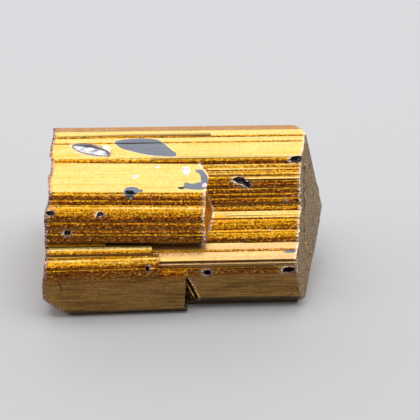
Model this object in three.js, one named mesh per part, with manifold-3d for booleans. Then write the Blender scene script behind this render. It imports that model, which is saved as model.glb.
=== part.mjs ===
import * as THREE from "three";
import { mergeVertices } from "three/addons/utils/BufferGeometryUtils.js";
import Module from "manifold-3d";

const wasm = await Module();
wasm.setup();

// All sizes are in mm. X runs along the crystals' long axis, towards the pyramid.
// A section is drawn in (u, v): u points out of the front prism face, v is up along that face.
// The front face leans back so that the lower prism face lies flat.
const LEAN = THREE.MathUtils.degToRad(30);
const OUT = new THREE.Vector3(0, -Math.cos(LEAN), Math.sin(LEAN));
const UP = new THREE.Vector3(0, Math.sin(LEAN), Math.cos(LEAN));

// Main crystal: distances from its axis to its faces, and the reach of its ends.
const PRISM_FACE = 10.54;
const BACK_FACE = 13.8;
const TOP_RIM = 14;
const FOOT_FACE = 13.9;
const APEX_X = 24;
const PAST_LEFT = -34;
const PAST_RIGHT = 30;
const PYRAMID_SLOPE = THREE.MathUtils.degToRad(27.35);
const PYRAMID_BACK = 70;
// Directions of the prism faces in the section, in degrees from u.
const FACES = { top: 90, upperBack: 120, backAbove: 150, backBelow: -150, bottom: -120, foot: -30 };

// Heights of the front facets were read in rows of the photograph; one row is this many mm.
const MAIN_ROW = 0.17;
const NEAR_ROW = 0.166;

// Front side from the top rim down: [rows, tilt in degrees], tilt counted upwards from the prism face.
const MAIN_START = [5.2, TOP_RIM];
const MAIN_FRONT = [
  [4.5, 62], [5, 32], [2, 12], [4, 33], [1.5, 14], [14.5, 30], [4, 16], [3.5, -6], [2, 22], [4.5, 13],
  [4.5, 19], [1, -20], [2, 18], [7.5, 2], [2.5, -14], [2.5, 8], [2.5, -10], [2.5, 7], [2, -12], [2.5, 8],
  [4, -15], [2, 0], [2, 16], [2.5, 5], [6.5, 27], [1.5, -5], [4, 18], [3, 13], [4, 4], [5, 19],
  [3, 12], [4, -12], [6, 32], [2.5, 14], [8, 30], [2, -45], [1.8, 35], [3.2, -45], [1, 20], [6.5, -14],
  [6, -28], [1, -40], [8, -30], [1, -20], [6.8, -31],
];

// Fine striae: wide facets swing to and fro by a few degrees, less on the flattest ones.
const STRIA = 0.24;
const STRIA_SWING = 7;
const CALM_TILT = 24;
const CALM_SWING = 2.2;
const SMOOTH_TILT = 30;

// Sides that face away, as [width in mm, tilt in degrees] along the line between their two corners.
const LOWER_SIDE = [
  [2.6, 0], [0.5, -24], [0.5, 24], [3.4, 0], [0.8, -30], [0.9, 0], [0.8, 30], [4.1, 0], [0.4, -20],
  [0.4, 20], [1.5, 0], [0.7, -28], [0.4, 0], [0.7, 28], [2.9, 0], [0.5, -26], [0.5, 26], [2.2, 0],
];
const BACK_UPPER_SIDE = [
  [1.4, 4], [0.5, -30], [1.1, 6], [0.7, 30], [1.6, -5], [0.3, 34], [2.1, 3], [0.6, -28], [0.4, 25],
  [1.3, -8], [0.9, 28], [0.5, -33], [1.8, 5], [0.3, -30], [0.6, 12], [1.5, -14], [0.8, 30], [1.2, -4],
  [0.4, -35], [0.9, 9],
];
const TOP_SIDE = [[0.7, -8], [0.4, 24], [0.6, -12], [0.5, 6]];
const BACK_EDGE_SIDE = [[0.9, 9], [0.5, -26], [1.2, 6], [0.6, 20], [1.1, -7]];

// Upper front crystal: shorter, leans down a little to the right, and ends in two low pyramid heads.
const UPPER_START = [10, 7.81];
const UPPER_FRONT = [
  [29, 30], [1, 18], [1, 8], [2, 17], [4, -4], [3, 6], [2, -8], [2, 17], [4, 22], [4, 12],
  [2, 6], [4, -6], [1.5, -18], [3.5, 4], [4, -14], [4, -3], [1, 14], [2, -16], [5, -9], [3, -75],
];
const UPPER_ROOT = 6.5;
const UPPER_PIVOT = [-13.3, 12.5, 1];
const UPPER_TURN = THREE.MathUtils.degToRad(-1.2);
const UPPER_HEADS = [[3.82, 10.15, -0.6], [3.2, 11.35, 5.33]];

// Thin lamella under the upper crystal, with a square end.
const LAMELLA_START = [12.1, -5.73];
const LAMELLA_FRONT = [[2, 40], [3, 35], [3.5, 16], [2.5, -30], [2, 20]];
const LAMELLA_ROOT = 9;
const LAMELLA_END = -6.65;

// Narrow shelf that closes the gap above the lamella over its left part.
const SHELF_SECTION = [[9, -5], [12.2, -5], [12.35, -5.85], [9, -5.85]];
const SHELF_END = -14.2;

// Lower front crystal: its left end swings a little towards the front, its right end is broken in two steps.
const LOWER_START = [13.06, -7.69];
const LOWER_FRONT = [
  [2, 8], [4, 22], [3, 14], [3, -8], [2, 4], [6, -12], [4, -19], [4, -25], [26.1, -30],
];
const LOWER_ROOT = [6, -6.5];
const LOWER_BEVEL = 0.9;
const LOWER_FOOT_DEPTH = 4;
const LOWER_PIVOT = [-13.6, 13, -8];
const LOWER_TURN = THREE.MathUtils.degToRad(1.2);
const LOWER_LEDGE_END = -5.5;
const LOWER_END = -0.7;
const LOWER_LEDGE_START = [11.8, -7];
const LOWER_LEDGE_FACE = [[8, 0], [4, 7], [5, 3], [5, 6], [3, 1]];
const LOWER_LEDGE_REACH = 20;

// Thin growth layers on the main crystal's front: top edge v, height, how far they stand out, and
// the small turn in degrees that lets one end sink into the face.
const GROWTH_LAYERS = [
  { from: 8.5, to: PAST_RIGHT, v: 5.1, height: 0.26, proud: 0.12, sink: 0.5 },
  { from: 3, to: PAST_RIGHT, v: 6.75, height: 0.3, proud: 0.06, sink: 0.3 },
  { from: 2, to: 16.5, v: 1.35, height: 0.36, proud: 0.07, sink: -0.4 },
  { from: 6, to: PAST_RIGHT, v: -0.9, height: 0.34, proud: 0.07, sink: 0.3 },
  { from: 1, to: 13.5, v: -3.6, height: 0.4, proud: 0.07, sink: -0.3 },
  { from: 9, to: PAST_RIGHT, v: -5.3, height: 0.32, proud: 0.07, sink: 0.3 },
  { from: PAST_LEFT, to: 4, v: 12.75, height: 0.3, proud: 0.1, sink: -0.3 },
  { from: -6, to: PAST_RIGHT, v: 8.85, height: 0.34, proud: 0.1, sink: 0.25 },
  { from: -4, to: 14, v: -9.35, height: 0.28, proud: 0.12, sink: -0.3 },
];
const LAYER_ROOT = 0.5;

// Low crystals on the back, so that it is as grown as the front: [from x, to x, corners in (u, v)].
const BACK_CRYSTALS = [
  { from: PAST_LEFT, to: 5.2, corners: [[-2.2, 8], [-3.1, 11.6], [-5.4, 10.4], [-8.2, 8.7], [-8.3, 5]] },
  { from: PAST_LEFT, to: -7.6, corners: [[-10, 1], [-11.2, 6.6], [-13.1, 5.5], [-14.6, 3.4], [-14.4, 0.4]] },
  { from: PAST_LEFT, to: 12.4, corners: [[-12.2, -5], [-16, 0.4], [-16.5, -0.6], [-15.5, -2.4], [-13.9, -3.8]] },
];

const PYRAMID_TIP = 0.4;

// Broken left end: a leaning plane, a ledge that stands out in front, roughness, and a corner broken off.
const END_MIDDLE = -22.9;
const END_BACK = PAST_LEFT - 1;
const END_LEAN = 0.095;
const END_ROUGHNESS = 0.2;
const END_LEDGE = { height: 0.3, behind: -8.5, below: 7.5 };
const END_CELL = 1.9;
const END_HALF_WIDTH = 21;
// The grid's corners wander sideways by this share of a cell, and two slow waves run over it, in radians per mm.
const END_WANDER = 0.3;
const END_WAVE = { y: 0.45, z: 0.2 };
const END_RIPPLE = { y: -0.12, z: 0.31 };
const END_SCOOPS = [
  { at: [-28.6, 3.4, 2], radius: 6.6 },
  { at: [-30.2, -3.5, 9.5], radius: 7.6 },
  { at: [-27.6, 7, -6.4], radius: 5.2 },
  { at: [-30.6, -8.8, -3.8], radius: 7.1 },
  { at: [-26.6, 0.4, -5.4], radius: 4 },
];
const CORNER_POINT = [-23.05, -17, -8.3];
const CORNER_NORMAL = [-0.63, -0.14, -0.76];
const CORNER_REACH = 12;

// Low growth plates on the pyramid: [outline in (u, v), height].
const PYRAMID_PLATES = [
  { height: 0.1, outline: [[1.5, 3.2], [8, 7.6], [8.4, -6.6], [3.6, -9.4], [1.4, -2.4]] },
  { height: 0.14, outline: [[-1, 3.4], [-9.6, 4.6], [-5.2, 9.4], [2.6, 13.2], [2.9, 9.5]] },
  { height: 0.12, outline: [[-1.3, -4.2], [3.2, -9.6], [-2.4, -13], [-8.9, -6.8], [-7.4, -3.4]] },
];

// Chips: middle (x, u, v), half sizes (along x, out, up), turn in the plane of the face, and lean of that
// plane where it isn't the front prism face, in degrees.
const CHIPS = [
  { at: [18.15, 9.35, 8.15], size: [1.05, 0.6, 0.55], turn: 6 },
  { at: [8.6, 10, 4.55], size: [1.35, 0.42, 0.55], turn: -18 },
  { at: [9.7, 10, 3.95], size: [0.8, 0.4, 0.4], turn: -30 },
  { at: [16.2, 11.6, -10.4], size: [1.1, 0.8, 0.5], turn: 4 },
  { at: [2.5, 11.6, -10.6], size: [0.75, 0.7, 0.45], turn: 0 },
  { at: [-16.3, 8.35, 10.15], size: [3.3, 0.42, 1.05], turn: -15, lean: 30 },
  { at: [-10.1, 12.95, 3], size: [0.85, 0.4, 0.55], turn: -8 },
  { at: [-15.1, 13.5, -0.6], size: [0.65, 0.35, 0.42], turn: 0 },
  { at: [-23.3, 13.5, -0.3], size: [0.7, 0.5, 0.5], turn: 0 },
  { at: [-20.6, 13.2, -3.6], size: [0.6, 0.4, 0.45], turn: 12 },
  { at: [-7.5, 13.1, -9.7], size: [0.35, 0.55, 0.55], turn: 0 },
  { at: [-1.7, 12.5, 3.55], size: [0.7, 0.35, 0.22], turn: 0 },
];
// Hollows longer than this are cut by a smoother lens.
const LONG_CHIP = 2;
const CHIP_ROUGHNESS = 0.2;

// Ragged scar where the lower crystal's end has broken away: its floor's corners in (x, u, v), and its reach out.
const SCAR_FLOOR = [
  [-1.1, 10.4, -11.2], [-0.3, 10.6, -12], [1.3, 8.7, -15.1], [0.6, 7.9, -16.2], [-1.2, 7.2, -16.4],
];
const SCAR_REACH = 16;

// Corners closer than this become one.
const WELD = 1e-5;

// One tone for the golden film that covers every face.
const FILM = { color: 0xc98f2c, roughness: 0.34, metalness: 1 };

// Repeatable value from -1 to 1 for a pair of whole numbers.
function jitter(i, j) {
  const wave = Math.sin(i * 127.1 + j * 311.7) * 43758.5453;
  return 2 * (wave - Math.floor(wave)) - 1;
}

// Facets with the wide ones broken into striae; widths and tilts add up to what they were.
function striated(facets, unit) {
  return facets.flatMap(([width, tilt], row) => {
    const count = tilt === SMOOTH_TILT ? 1 : 2 * Math.round((width * unit) / STRIA / 2);
    if (count < 2) return [[width, tilt]];
    const swing = Math.abs(tilt) > CALM_TILT ? CALM_SWING : STRIA_SWING;
    return Array.from({ length: count }, (_, i) => {
      const pair = Math.floor(i / 2);
      const reach = swing * (0.65 + 0.35 * jitter(row, pair));
      return [width / count, i % 2 === 0 ? tilt + reach : tilt - reach];
    });
  });
}

function toSpace(x, u, v) {
  return new THREE.Vector3(x, 0, 0).addScaledVector(OUT, u).addScaledVector(UP, v);
}

function solidFrom(points, triangles) {
  const vertProperties = new Float32Array(points.flatMap((point) => point.toArray()));
  const triVerts = new Uint32Array(triangles.flat());
  return new wasm.Manifold(new wasm.Mesh({ numProp: 3, vertProperties, triVerts }));
}

// Points down a row of facets, from a start at the top.
function facetLine(start, facets, row) {
  const line = [start];
  for (const [rows, tilt] of facets) {
    const [u, v] = line.at(-1);
    const drop = rows * row;
    line.push([u + drop * Math.tan(THREE.MathUtils.degToRad(tilt)), v - drop]);
  }
  return line;
}

// Points along a row of facets stretched between two corners; a positive tilt climbs to the left of the way.
function facetsBetween(from, to, facets) {
  const width = facets.reduce((sum, [part]) => sum + part, 0);
  const [du, dv] = [to[0] - from[0], to[1] - from[1]];
  const length = Math.hypot(du, dv);
  const heights = [0];
  const places = [0];
  for (const [part, tilt] of facets) {
    heights.push(heights.at(-1) + part * Math.tan(THREE.MathUtils.degToRad(tilt)));
    places.push(places.at(-1) + part);
  }
  const drift = heights.at(-1) / width;
  return places.slice(1, -1).map((place, i) => {
    const height = heights[i + 1] - drift * place;
    const along = place / width;
    return [from[0] + du * along - (dv / length) * height, from[1] + dv * along + (du / length) * height];
  });
}

// Straight prism along X over a section given in (u, v).
function prism(section, fromX, toX) {
  const flat = section.map(([u, v]) => {
    const point = toSpace(0, u, v);
    return new THREE.Vector2(point.y, point.z);
  });
  if (THREE.ShapeUtils.isClockWise(flat)) flat.reverse();
  const count = flat.length;
  const points = [fromX, toX].flatMap((x) => flat.map((point) => new THREE.Vector3(x, point.x, point.y)));
  const triangles = [];
  for (const [a, b, c] of THREE.ShapeUtils.triangulateShape(flat, [])) {
    triangles.push([a, c, b], [a + count, b + count, c + count]);
  }
  for (let i = 0; i < count; i += 1) {
    const next = (i + 1) % count;
    triangles.push([i, next, next + count], [i, next + count, i + count]);
  }
  return solidFrom(points, triangles);
}

// Solid under a trigonal pyramid whose three faces meet in a point at (x, u, v).
function pyramid([x, u, v]) {
  const spread = (2 * PYRAMID_BACK) / Math.tan(PYRAMID_SLOPE);
  const base = [60, 180, 300].map((angle) => {
    const turn = THREE.MathUtils.degToRad(angle);
    return toSpace(x - PYRAMID_BACK, u + spread * Math.cos(turn), v + spread * Math.sin(turn));
  });
  const points = [...base, toSpace(x, u, v)];
  return solidFrom(points, [[0, 1, 2], [0, 3, 1], [1, 3, 2], [2, 3, 0]]);
}

// Copy of a solid turned about an axis through a pivot.
function turned(solid, pivot, axis, angle) {
  const matrix = new THREE.Matrix4()
    .makeTranslation(pivot)
    .multiply(new THREE.Matrix4().makeRotationAxis(axis, angle))
    .multiply(new THREE.Matrix4().makeTranslation(pivot.clone().negate()));
  const mesh = solid.getMesh();
  const points = [];
  for (let i = 0; i < mesh.vertProperties.length; i += mesh.numProp) {
    points.push(new THREE.Vector3().fromArray(mesh.vertProperties, i).applyMatrix4(matrix));
  }
  return solidFrom(points, [Array.from(mesh.triVerts)]);
}

// Corner of a section where two faces meet, each given by the angle of its normal and its distance.
function corner(angleA, distanceA, angleB, distanceB) {
  const [a, b] = [angleA, angleB].map((angle) => THREE.MathUtils.degToRad(angle));
  const spread = Math.sin(b - a);
  const u = (distanceA * Math.sin(b) - distanceB * Math.sin(a)) / spread;
  const v = (distanceB * Math.cos(a) - distanceA * Math.cos(b)) / spread;
  return [u, v];
}

// Depth u of a line of facets at height v.
function depthAt(line, v) {
  const below = line.findIndex((point) => point[1] <= v);
  const [[u0, v0], [u1, v1]] = [line[below - 1], line[below]];
  return u0 + ((u1 - u0) * (v0 - v)) / (v0 - v1);
}

// Wedge-shaped layer that swells from its top edge and ends in a small step below.
function growthLayer({ from, to, v, height, proud, sink }, line) {
  const [top, foot] = [depthAt(line, v), depthAt(line, v - height)];
  const section = [[top, v], [foot + proud, v - height], [foot - LAYER_ROOT, v - height], [top - LAYER_ROOT, v]];
  const middle = (Math.max(from, END_MIDDLE) + Math.min(to, APEX_X)) / 2;
  return turned(prism(section, from, to), toSpace(middle, foot, v), UP, THREE.MathUtils.degToRad(sink));
}

function mainCrystal() {
  const front = facetLine(MAIN_START, striated(MAIN_FRONT, MAIN_ROW), MAIN_ROW);
  const foot = corner(FACES.foot, FOOT_FACE, FACES.bottom, PRISM_FACE);
  const lowerBack = corner(FACES.bottom, PRISM_FACE, FACES.backBelow, BACK_FACE);
  const back = corner(FACES.backBelow, BACK_FACE, FACES.backAbove, BACK_FACE);
  const upperBack = corner(FACES.backAbove, BACK_FACE, FACES.upperBack, PRISM_FACE);
  const topBack = corner(FACES.upperBack, PRISM_FACE, FACES.top, TOP_RIM);
  const section = [
    ...front,
    foot,
    ...facetsBetween(foot, lowerBack, LOWER_SIDE),
    lowerBack,
    ...facetsBetween(lowerBack, back, striated(BACK_EDGE_SIDE, 1)),
    back,
    ...facetsBetween(back, upperBack, striated(BACK_EDGE_SIDE, 1)),
    upperBack,
    ...facetsBetween(upperBack, topBack, striated(BACK_UPPER_SIDE, 1)),
    topBack,
    ...facetsBetween(topBack, MAIN_START, TOP_SIDE),
  ];
  const shaft = GROWTH_LAYERS.reduce((whole, layer) => whole.add(growthLayer(layer, front)),
    prism(section, PAST_LEFT, PAST_RIGHT));
  const sharp = shaft.intersect(pyramid([APEX_X, 0, 0]));
  return PYRAMID_PLATES.reduce((crystal, { height, outline }) => {
    const plate = prism(outline, 0, PAST_RIGHT).intersect(pyramid([APEX_X + height, 0, 0]));
    return crystal.add(plate.intersect(shaft));
  }, sharp);
}

function upperCrystal() {
  const front = facetLine(UPPER_START, striated(UPPER_FRONT, NEAR_ROW), NEAR_ROW);
  const section = [...front, [UPPER_ROOT, front.at(-1)[1]], [UPPER_ROOT, UPPER_START[1]]];
  const heads = pyramid(UPPER_HEADS[0]).add(pyramid(UPPER_HEADS[1]));
  const shaft = turned(prism(section, PAST_LEFT, PAST_RIGHT), toSpace(...UPPER_PIVOT), OUT, UPPER_TURN);
  return shaft.intersect(heads);
}

function lamella() {
  const front = facetLine(LAMELLA_START, striated(LAMELLA_FRONT, NEAR_ROW), NEAR_ROW);
  const section = [...front, [LAMELLA_ROOT, front.at(-1)[1]], [LAMELLA_ROOT, LAMELLA_START[1]]];
  return prism(section, PAST_LEFT, LAMELLA_END);
}

function shelf() {
  return prism(SHELF_SECTION, PAST_LEFT, SHELF_END);
}

function lowerCrystal() {
  const front = facetLine(LOWER_START, striated(LOWER_FRONT, NEAR_ROW), NEAR_ROW);
  const foot = toSpace(0, ...front.at(-1)).setZ(-PRISM_FACE);
  foot.y += LOWER_BEVEL;
  const heel = foot.clone().setY(foot.y + LOWER_FOOT_DEPTH);
  const section = [...front, [foot.dot(OUT), foot.dot(UP)], [heel.dot(OUT), heel.dot(UP)], LOWER_ROOT];
  const whole = turned(prism(section, PAST_LEFT, LOWER_END), toSpace(...LOWER_PIVOT),
    new THREE.Vector3(0, 0, 1), LOWER_TURN);
  const face = facetLine(LOWER_LEDGE_START, LOWER_LEDGE_FACE, NEAR_ROW);
  const sides = [[LOWER_LEDGE_REACH, face.at(-1)[1]], [LOWER_LEDGE_REACH, LOWER_LEDGE_START[1]]];
  const cutBack = prism([...face, ...sides], LOWER_LEDGE_END, PAST_RIGHT);
  return whole.subtract(cutBack);
}

// Everything left of the broken end: a grid of flat splinters that leans out towards the front.
function brokenEnd() {
  const cells = Math.ceil((2 * END_HALF_WIDTH) / END_CELL);
  const side = cells + 1;
  const points = [];
  for (let i = 0; i < side; i += 1) {
    for (let j = 0; j < side; j += 1) {
      const y = -END_HALF_WIDTH + END_CELL * (i + END_WANDER * jitter(i, j + side));
      const z = -END_HALF_WIDTH + END_CELL * (j + END_WANDER * jitter(i + side, j));
      const wave = Math.cos(END_WAVE.y * y + END_WAVE.z * z);
      const ripple = Math.sin(END_RIPPLE.y * y + END_RIPPLE.z * z);
      const ledge = y < END_LEDGE.behind && z < END_LEDGE.below ? END_LEDGE.height : 0;
      const x = END_MIDDLE + END_LEAN * y - ledge + END_ROUGHNESS * (jitter(i, j) + wave * ripple);
      points.push(new THREE.Vector3(x, y, z));
    }
  }
  const top = points.length;
  points.push(...points.map((point) => new THREE.Vector3(END_BACK, point.y, point.z)));
  const triangles = [];
  const wall = (a, b) => triangles.push([a, a + top, b + top], [a, b + top, b]);
  for (let i = 0; i < cells; i += 1) {
    for (let j = 0; j < cells; j += 1) {
      const a = i * side + j;
      triangles.push([a, a + side, a + side + 1], [a, a + side + 1, a + 1]);
      triangles.push([a + top, a + top + side + 1, a + top + side], [a + top, a + top + 1, a + top + side + 1]);
    }
    wall(i * side, (i + 1) * side);
    wall((i + 1) * side + cells, i * side + cells);
    wall(i + 1, i);
    wall(cells * side + i, cells * side + i + 1);
  }
  return solidFrom(points, triangles);
}

// Shell-shaped hollow in the broken end.
function scoop({ at, radius }) {
  const shell = new THREE.IcosahedronGeometry(radius, 3);
  shell.rotateX(radius);
  shell.translate(...at);
  return solidOf(shell);
}

// Block that takes away the corner broken off at the lower left.
function brokenCorner() {
  const normal = new THREE.Vector3(...CORNER_NORMAL).normalize();
  const block = new THREE.BoxGeometry(2 * CORNER_REACH, 2 * CORNER_REACH, 2 * CORNER_REACH);
  block.translate(0, 0, CORNER_REACH);
  block.applyQuaternion(new THREE.Quaternion().setFromUnitVectors(new THREE.Vector3(0, 0, 1), normal));
  block.translate(...CORNER_POINT);
  return solidOf(block);
}

function solidOf(geometry) {
  geometry.deleteAttribute("normal");
  geometry.deleteAttribute("uv");
  const merged = mergeVertices(geometry, WELD);
  const points = [];
  for (let i = 0; i < merged.attributes.position.count; i += 1) {
    points.push(new THREE.Vector3().fromBufferAttribute(merged.attributes.position, i));
  }
  return solidFrom(points, [Array.from(merged.index.array)]);
}

// Flaked hollow: a rough-sided lens laid on the front of the crystal.
function chip({ at, size, turn, lean = 0 }, number) {
  const detail = size[0] > LONG_CHIP ? 3 : 1;
  const lens = new THREE.IcosahedronGeometry(1, detail);
  lens.deleteAttribute("normal");
  lens.deleteAttribute("uv");
  const merged = mergeVertices(lens, WELD);
  const spot = merged.attributes.position;
  for (let i = 0; i < spot.count; i += 1) {
    const swell = 1 + (CHIP_ROUGHNESS / detail ** 2) * jitter(i, number);
    spot.setXYZ(i, spot.getX(i) * swell * size[0], spot.getY(i) * swell * size[2], spot.getZ(i) * swell * size[1]);
  }
  merged.rotateZ(THREE.MathUtils.degToRad(turn));
  merged.rotateX(THREE.MathUtils.degToRad(-lean));
  const place = new THREE.Matrix4().makeBasis(new THREE.Vector3(1, 0, 0), UP, OUT);
  merged.applyMatrix4(place.setPosition(toSpace(...at)));
  return solidOf(merged);
}

// Ragged triangular hollow beside the lower crystal's broken end.
function scar() {
  const inside = SCAR_FLOOR.map(([x, u, v]) => toSpace(x, u, v));
  const outside = SCAR_FLOOR.map(([x, , v]) => toSpace(x, SCAR_REACH, v));
  const count = inside.length;
  const triangles = [];
  for (let i = 0; i < count; i += 1) {
    const next = (i + 1) % count;
    triangles.push([i, i + count, next + count], [i, next + count, next]);
    if (i > 1) triangles.push([0, i - 1, i], [count, count + i, count + i - 1]);
  }
  return solidFrom([...inside, ...outside], triangles);
}

function crystalCluster() {
  const back = BACK_CRYSTALS.map(({ from, to, corners }) => {
    const end = pyramid([to + PYRAMID_TIP, ...corners[1]]);
    return prism(corners, from, to).intersect(end);
  });
  const grown = [upperCrystal(), lamella(), shelf(), lowerCrystal(), ...back].reduce(
    (whole, crystal) => whole.add(crystal), mainCrystal());
  const broken = [brokenEnd(), ...END_SCOOPS.map(scoop), brokenCorner(), scar(), ...CHIPS.map(chip)];
  return broken.reduce((whole, cut) => whole.subtract(cut), grown);
}

const mesh = crystalCluster().getMesh();
const geometry = new THREE.BufferGeometry();
geometry.setAttribute("position", new THREE.BufferAttribute(mesh.vertProperties, mesh.numProp));
geometry.setIndex(new THREE.BufferAttribute(mesh.triVerts, 1));
geometry.computeBoundingBox();
const middle = geometry.boundingBox.getCenter(new THREE.Vector3());
geometry.translate(-middle.x, -middle.y, -geometry.boundingBox.min.z);
const faceted = geometry.toNonIndexed();
faceted.computeVertexNormals();

const crystal = new THREE.Mesh(faceted, new THREE.MeshStandardMaterial(FILM));
crystal.name = "tourmaline_crystal";

const group = new THREE.Group();
group.add(crystal);

export default group;
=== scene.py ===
"""Looks for the aura tourmaline crystal.

Black tourmaline under a vapour-deposited film: gold on the striated prism faces, matte and sugary on the
pyramid, thin over the broken base, chipped to bare stone and flaked to a grey underlayer in places.
"""

import logging
import math
from dataclasses import dataclass
from enum import Enum

import bmesh
import bpy
from mathutils import Matrix, Vector, noise


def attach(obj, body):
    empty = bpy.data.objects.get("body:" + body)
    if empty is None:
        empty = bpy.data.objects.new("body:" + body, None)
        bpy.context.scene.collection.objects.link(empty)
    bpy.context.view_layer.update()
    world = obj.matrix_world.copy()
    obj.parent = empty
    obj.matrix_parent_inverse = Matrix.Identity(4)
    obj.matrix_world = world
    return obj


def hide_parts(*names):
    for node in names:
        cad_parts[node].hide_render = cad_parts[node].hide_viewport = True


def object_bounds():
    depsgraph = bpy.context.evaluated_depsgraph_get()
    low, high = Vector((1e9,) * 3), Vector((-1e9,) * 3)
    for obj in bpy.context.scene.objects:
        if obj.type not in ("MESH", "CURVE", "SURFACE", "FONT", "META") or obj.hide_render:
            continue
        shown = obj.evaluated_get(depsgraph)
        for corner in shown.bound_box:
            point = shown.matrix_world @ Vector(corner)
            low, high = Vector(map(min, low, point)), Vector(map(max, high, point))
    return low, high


LOG = logging.getLogger("crystal_scene")
MM = 0.001
# Metres within which a point counts as on a cut, and two points as one.
CUT_REACH = 1e-8
SAME_POINT = 1e-7
# Settings that many nodes share.
COLOUR_MIX = {"data_type": "RGBA"}
TIMES_PLUS = {"operation": "MULTIPLY_ADD"}
TIMES = {"operation": "MULTIPLY"}
PLUS = {"operation": "ADD"}
SCALED = {"operation": "SCALE"}

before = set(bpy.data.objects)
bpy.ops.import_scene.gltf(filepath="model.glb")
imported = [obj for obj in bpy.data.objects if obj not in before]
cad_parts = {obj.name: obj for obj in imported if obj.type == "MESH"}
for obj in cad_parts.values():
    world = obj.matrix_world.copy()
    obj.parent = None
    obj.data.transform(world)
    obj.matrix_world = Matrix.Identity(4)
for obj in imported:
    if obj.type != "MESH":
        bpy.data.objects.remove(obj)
CAD_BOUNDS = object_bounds()


class Surface(Enum):
    """Kinds of surface on the crystal, in the order of their material slots."""

    PRISM = 0
    PYRAMID = 1
    BREAK = 2
    STONE = 3
    GLOSSY = 4
    GREY = 5
    PALE = 6
    ROSE = 7
    SCAR = 8
    GILT_HIGHLIGHT = 9
    SHADE_LINES = 10


@dataclass(frozen=True)
class CrystalAxes:
    """The main crystal's axis in the frame: x along it, u out of the front prism face, v up that face."""

    apex: float = 24.0
    rear: float = 14.344
    bottom: float = 10.54
    lean: float = math.radians(30)
    slope: float = math.radians(27.35)

    @property
    def origin(self) -> Vector:
        """Middle of the axis in the frame, in mm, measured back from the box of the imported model."""
        high = Vector(CAD_BOUNDS[1]) / MM
        return Vector((high.x - self.apex, high.y - self.rear, self.bottom))

    @property
    def out(self) -> Vector:
        """Direction of u."""
        return Vector((0.0, -math.cos(self.lean), math.sin(self.lean)))

    @property
    def up(self) -> Vector:
        """Direction of v."""
        return Vector((0.0, math.sin(self.lean), math.cos(self.lean)))

    def place(self, x: float, u: float, v: float) -> Vector:
        """Gives the frame position of a point on the crystal.

        Args:
            x: Distance along the long axis, mm.
            u: Distance out towards the front face, mm.
            v: Distance up along the front face, mm.

        Returns:
            Position in metres.
        """
        return (self.origin + Vector((x, 0, 0)) + self.out * u + self.up * v) * MM

    def measure(self, point: Vector) -> Vector:
        """Gives x, u and v of a point.

        Args:
            point: Position in metres.

        Returns:
            The three distances in mm.
        """
        spot = point / MM - self.origin
        return Vector((spot.x, spot.dot(self.out), spot.dot(self.up)))

    def below_pyramid(self, spot: Vector) -> float:
        """Depth of a point below the three pyramid faces.

        Args:
            spot: x, u and v of the point, mm.

        Returns:
            Distance along the axis, mm.
        """
        turns = (math.radians(angle) for angle in (0, 120, 240))
        reach = max(spot.y * math.cos(turn) + spot.z * math.sin(turn) for turn in turns)
        return self.apex - math.tan(self.slope) * reach - spot.x


AXES = CrystalAxes()


@dataclass(frozen=True)
class Chip:
    """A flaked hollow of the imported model.

    Its middle in x, u and v, its half sizes along and up, its turn in degrees, its kind of surface, and how
    far above and below its middle it reaches; lengths in mm.
    """

    x: float
    u: float
    v: float
    along: float
    high: float
    turn: float = 0.0
    surface: Surface = Surface.STONE
    reach: float = 1.0

    def local(self, spot: Vector) -> tuple:
        """Place of a point in the chip's oval, where the edge is at 1.

        Args:
            spot: x, u and v of the point, mm.

        Returns:
            Share along and share across.
        """
        turn = math.radians(self.turn)
        dx = spot.x - self.x
        dv = spot.z - self.v
        along = dx * math.cos(turn) + dv * math.sin(turn)
        across = dv * math.cos(turn) - dx * math.sin(turn)
        return along / self.along, across / self.high

    def holds(self, spot: Vector) -> bool:
        """Says whether a point lies in the hollow.

        Args:
            spot: x, u and v of the point, mm.

        Returns:
            True inside.
        """
        return math.hypot(*self.local(spot)) < 1 and abs(spot.y - self.u) < self.reach


@dataclass(frozen=True)
class Flake:
    """A place where the film has come away.

    Its depth u, its corners in x and v, the width of its fresh rim and how ragged its edge is, all in mm; how
    many turns the ragged edge takes in a mm, and the shares of each side where a corner is cut off.
    """

    surface: Surface
    u: float
    outline: tuple
    rim: float = 0.0
    ragged: float = 0.0
    ragged_rate: float = 4.1
    cuts: tuple = (0.25, 0.75)

    def corners(self, grown: float = 0.0) -> tuple:
        """The outline with its corners rounded off.

        Args:
            grown: How far it reaches beyond the flake itself, mm.

        Returns:
            Corners in x and v, mm.
        """
        middle_x = sum(x for x, _ in self.outline) / len(self.outline)
        middle_v = sum(v for _, v in self.outline) / len(self.outline)
        corners = []
        for (x0, v0), (x1, v1) in zip(self.outline, self.outline[1:] + self.outline[:1]):
            for share in self.cuts:
                x = x0 + (x1 - x0) * share
                v = v0 + (v1 - v0) * share
                reach = 1 + grown / math.hypot(x - middle_x, v - middle_v)
                x_shift = self.ragged * noise.noise(Vector((x, v, 0)) * self.ragged_rate)
                v_shift = self.ragged * noise.noise(Vector((x, v, 1)) * self.ragged_rate)
                corners.append((
                    middle_x + (x - middle_x) * reach + x_shift, middle_v + (v - middle_v) * reach + v_shift))
        return tuple(corners)


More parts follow.
